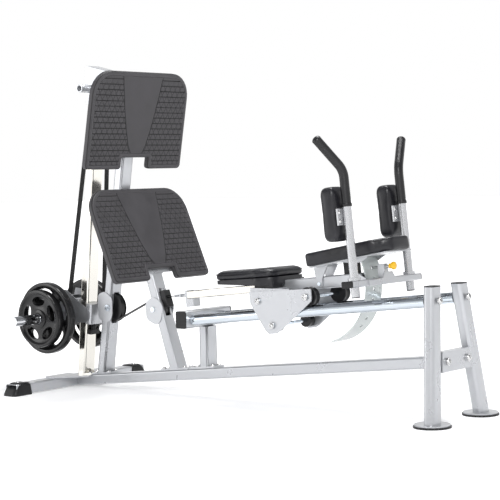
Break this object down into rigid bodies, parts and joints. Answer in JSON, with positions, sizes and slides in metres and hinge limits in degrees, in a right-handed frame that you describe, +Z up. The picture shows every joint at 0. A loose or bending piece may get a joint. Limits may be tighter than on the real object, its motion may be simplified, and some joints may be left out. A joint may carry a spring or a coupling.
{
  "type": "plate-loaded leg press and hack squat machine",
  "caption": "Plate-loaded leg press and hack squat machine: seat carriage rolling on round rails, reclining back, two tread foot plates and a belt-lifted weight carriage.",
  "frame": {"origin": "on the floor, under the middle of the machine's bounding box", "axes": "+X along the length towards the A-frame end, +Y across the machine, +Z up"},
  "size_m": [2.516, 0.94, 1.586],
  "materials": {
    "silver_paint": "satin",
    "post_chrome": "polished",
    "rail_chrome": "polished",
    "bolt_steel": "polished",
    "sleeve_chrome": "polished",
    "handle_silver": "satin",
    "strap_steel": "satin",
    "vinyl": "satin",
    "foot_rubber": "matt",
    "tread_rubber": "matt",
    "grip_rubber": "matt",
    "plate_rubber": "matt",
    "dark_plate": "satin",
    "belt_black": "matt",
    "pulley_nylon": "matt",
    "roller_urethane": "satin",
    "knob_yellow": "gloss",
    "knob_black": "gloss"
  },
  "bodies": {
    "frame": {"rear_cross_tube": "silver_paint", "rear_foot_boots": "foot_rubber", "main_tube": "silver_paint", "guide_post": "post_chrome", "tower_upright": "silver_paint", "tower_head": "silver_paint", "lower_foot_post": "silver_paint", "rail_support_post": "silver_paint", "rail_cross_tube": "silver_paint", "frame_end_caps": "foot_rubber", "guide_rails": "rail_chrome", "a_frame_legs": "silver_paint", "a_frame_crossmember": "silver_paint", "a_frame_foot_plates": "silver_paint", "a_frame_foot_pads": "foot_rubber", "frame_bolts": "bolt_steel", "upper_foot_plate": "tread_rubber", "lower_foot_plate": "tread_rubber", "foot_plate_brackets": "silver_paint", "pulley_axles": "rail_chrome", "belt_upper_run": "belt_black", "belt_rear_run": "belt_black", "belt_front_run": "belt_black", "stop_bumpers": "foot_rubber"},
    "top_pulley": {"top_pulley": "pulley_nylon"},
    "lower_pulley": {"lower_pulley": "pulley_nylon"},
    "idler_pulley": {"idler_pulley": "pulley_nylon"},
    "weight_carriage": {"weight_slider": "silver_paint", "weight_side_plates": "dark_plate", "loading_sleeves": "sleeve_chrome", "belt_clamp": "bolt_steel"},
    "weights_left": {"weights_left": "plate_rubber"},
    "weights_right": {"weights_right": "plate_rubber"},
    "start_tube": {"start_tube": "post_chrome", "start_block": "silver_paint"},
    "carriage": {"carriage_side_plates": "silver_paint", "carriage_spine": "silver_paint", "roller_axles": "rail_chrome", "seat_base": "vinyl", "seat_pad": "vinyl", "carriage_crossbar": "silver_paint", "pin_housing": "silver_paint", "back_rest_bumper": "foot_rubber"},
    "start_pin": {"start_pin": "knob_black"},
    "front_rollers": {"front_rollers": "roller_urethane"},
    "rear_rollers": {"rear_rollers": "roller_urethane"},
    "lower_rollers": {"lower_rollers": "roller_urethane"},
    "back": {"back_frame": "silver_paint", "back_pad": "vinyl", "back_strap": "strap_steel"},
    "back_pin": {"back_pin": "bolt_steel", "back_pin_knob": "knob_yellow"},
    "shoulder_left": {"shoulder_post_left": "handle_silver", "shoulder_grip_left": "grip_rubber", "shoulder_pad_left": "vinyl"},
    "shoulder_right": {"shoulder_post_right": "handle_silver", "shoulder_grip_right": "grip_rubber", "shoulder_pad_right": "vinyl"}
  },
  "joints": [
    {"name": "press_slide", "type": "slide", "parent": "frame", "child": "start_tube", "axis": [0.9949, 0, 0.1011], "range_m": [0, 0.45], "deforming": ["belt_front_run"]},
    {"name": "start_adjust", "type": "slide", "parent": "start_tube", "child": "carriage", "axis": [0.9949, 0, 0.1011], "range_m": [-0.2, 0]},
    {"name": "weight_lift", "type": "slide", "parent": "frame", "child": "weight_carriage", "axis": [0.0924, 0, 0.9957], "range_m": [0, 0.46], "deforming": ["belt_rear_run"]},
    {"name": "weights_left_slide", "type": "slide", "parent": "weight_carriage", "child": "weights_left", "axis": [0, -1, 0], "range_m": [0, 0.15]},
    {"name": "weights_right_slide", "type": "slide", "parent": "weight_carriage", "child": "weights_right", "axis": [0, 1, 0], "range_m": [0, 0.15]},
    {"name": "back_recline", "type": "hinge", "parent": "carriage", "child": "back", "pos_m": [0.51643, 0, 0.55389], "axis": [0, -1, 0], "range_deg": [0, 60]},
    {"name": "back_pin_pull", "type": "slide", "parent": "carriage", "child": "back_pin", "axis": [0.9949, 0, 0.1011], "range_m": [-0.013, 0]},
    {"name": "start_pin_pull", "type": "slide", "parent": "carriage", "child": "start_pin", "axis": [0, 1, 0], "range_m": [-0.013, 0]},
    {"name": "shoulder_left_lift", "type": "slide", "parent": "carriage", "child": "shoulder_left", "axis": [-0.1011, 0, 0.9949], "range_m": [0, 0.07]},
    {"name": "shoulder_right_lift", "type": "slide", "parent": "carriage", "child": "shoulder_right", "axis": [-0.1011, 0, 0.9949], "range_m": [0, 0.07]},
    {"name": "top_pulley_turn", "type": "hinge", "parent": "frame", "child": "top_pulley", "pos_m": [-0.816, 0, 1.47], "axis": [0, 1, 0], "range_deg": [-5, 475]},
    {"name": "lower_pulley_turn", "type": "hinge", "parent": "frame", "child": "lower_pulley", "pos_m": [-0.766, 0, 0.401], "axis": [0, 1, 0], "range_deg": [-385, 5]},
    {"name": "idler_turn", "type": "hinge", "parent": "frame", "child": "idler_pulley", "pos_m": [-0.468, 0, 0.4043], "axis": [0, 1, 0], "range_deg": [-5, 484]},
    {"name": "front_roller_turn", "type": "hinge", "parent": "carriage", "child": "front_rollers", "pos_m": [0.2558, 0, 0.47766], "axis": [0, 1, 0], "range_deg": [-5, 684]},
    {"name": "rear_roller_turn", "type": "hinge", "parent": "carriage", "child": "rear_rollers", "pos_m": [0.51745, 0, 0.50424], "axis": [0, 1, 0], "range_deg": [-5, 684]},
    {"name": "lower_roller_turn", "type": "hinge", "parent": "carriage", "child": "lower_rollers", "pos_m": [0.33377, 0, 0.37301], "axis": [0, 1, 0], "range_deg": [-1036, 5]}
  ],
  "couplings": [
    {"joint": "weight_lift", "follows": "press_slide", "ratio": 1},
    {"joint": "top_pulley_turn", "follows": "press_slide", "rad_per_m": 18.248},
    {"joint": "lower_pulley_turn", "follows": "press_slide", "rad_per_m": -14.749},
    {"joint": "idler_turn", "follows": "press_slide", "rad_per_m": 18.587},
    {"joint": "front_roller_turn", "follows": "press_slide", "rad_per_m": 26.316},
    {"joint": "rear_roller_turn", "follows": "press_slide", "rad_per_m": 26.316},
    {"joint": "lower_roller_turn", "follows": "press_slide", "rad_per_m": -40}
  ]
}
